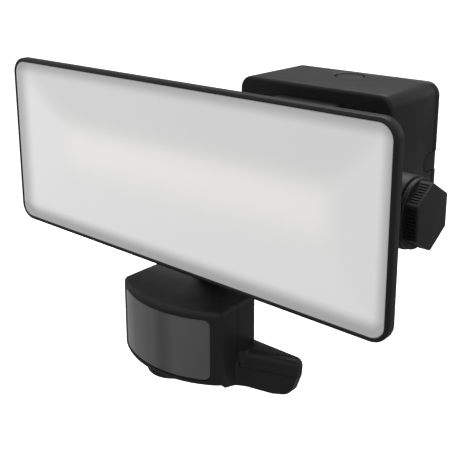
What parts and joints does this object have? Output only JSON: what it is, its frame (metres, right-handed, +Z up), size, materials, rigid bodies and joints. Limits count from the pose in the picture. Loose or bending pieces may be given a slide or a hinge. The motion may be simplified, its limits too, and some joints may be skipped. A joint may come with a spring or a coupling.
{
  "type": "floodlight security camera",
  "caption": "Wall-mounted LED floodlight with a wide opal panel that tilts on a barrel, over a swivelling camera and motion-sensor head with a smoked window.",
  "frame": {"origin": "middle of the wall plate's back face, where it meets the wall", "axes": "+Y into the wall, +Z up, +X to the right as seen from in front; the lamp looks along -Y"},
  "size_m": [0.2762, 0.2098, 0.176],
  "materials": {
    "coated_metal": "black powder coat",
    "black_plastic": "fine moulded texture",
    "opal_diffuser": "satin opal",
    "smoked_window": "smoked, semi-gloss",
    "black_rubber": "matt",
    "screw_steel": "plated",
    "white_plastic": "satin",
    "circuit_board": "solder mask",
    "dark_glass": "polished"
  },
  "bodies": {
    "base": {"box_shell": "coated_metal", "wall_plate": "coated_metal", "top_knockout": "coated_metal", "left_breakout": "coated_metal", "right_breakout": "coated_metal", "cable_grommet": "black_rubber", "led_driver": "black_plastic", "terminal_block": "white_plastic", "box_screw_left": "screw_steel", "box_screw_right": "screw_steel", "support_arm": "coated_metal", "sleeve_ring_left": "black_rubber", "sleeve_ring_right": "black_rubber", "sensor_post": "coated_metal"},
    "lamp": {"lamp_bezel": "black_plastic", "lamp_lens": "opal_diffuser", "lens_seal": "black_rubber", "reflector": "white_plastic", "lamp_board": "white_plastic", "lamp_tray": "coated_metal", "tray_vent": "black_rubber", "tray_screw_1": "screw_steel", "tray_screw_2": "screw_steel", "tray_screw_3": "screw_steel", "tray_screw_4": "screw_steel", "tilt_barrel": "coated_metal", "barrel_cradle_1": "coated_metal", "barrel_cradle_2": "coated_metal", "barrel_cradle_3": "coated_metal", "barrel_cradle_4": "coated_metal", "barrel_cap": "black_plastic", "knob_stud": "screw_steel", "stud_web": "coated_metal"},
    "knob": {"lock_knob": "black_plastic"},
    "swivel": {"swivel_fork": "black_plastic", "swivel_shaft": "screw_steel", "knuckle_bolt": "screw_steel", "knuckle_nut": "screw_steel"},
    "head": {"head_front": "black_plastic", "head_window": "smoked_window", "head_rear": "black_plastic", "control_board": "circuit_board", "head_screw_left": "screw_steel", "head_screw_right": "screw_steel", "camera_board": "circuit_board", "camera_barrel": "black_plastic", "camera_lens": "dark_glass", "motion_sensor": "white_plastic", "night_light_upper": "dark_glass", "night_light_lower": "dark_glass"},
    "dial": {"settings_dial": "black_plastic"},
    "button": {"reset_button": "black_rubber"}
  },
  "joints": [
    {"name": "lamp_tilt", "type": "hinge", "parent": "base", "child": "lamp", "pos_m": [0, -0.159, 0.0065], "axis": [1, 0, 0], "range_deg": [-60, 12]},
    {"name": "knob_turn", "type": "hinge", "parent": "lamp", "child": "knob", "pos_m": [0.134, -0.159, 0.0065], "axis": [1, 0, 0], "range_deg": [0, 180]},
    {"name": "head_pan", "type": "hinge", "parent": "base", "child": "swivel", "pos_m": [0, -0.156, -0.0435], "axis": [0, 0, 1], "range_deg": [-80, 80]},
    {"name": "head_tilt", "type": "hinge", "parent": "swivel", "child": "head", "pos_m": [0, -0.156, -0.0575], "axis": [1, 0, 0], "range_deg": [-10, 35]},
    {"name": "dial_turn", "type": "hinge", "parent": "head", "child": "dial", "pos_m": [-0.0015, -0.193, -0.1068], "axis": [0, 0, 1], "range_deg": [-135, 135]},
    {"name": "button_press", "type": "slide", "parent": "head", "child": "button", "axis": [0, 0, 1], "range_m": [0, 0.0012], "stiffness_N_per_m": 300}
  ]
}
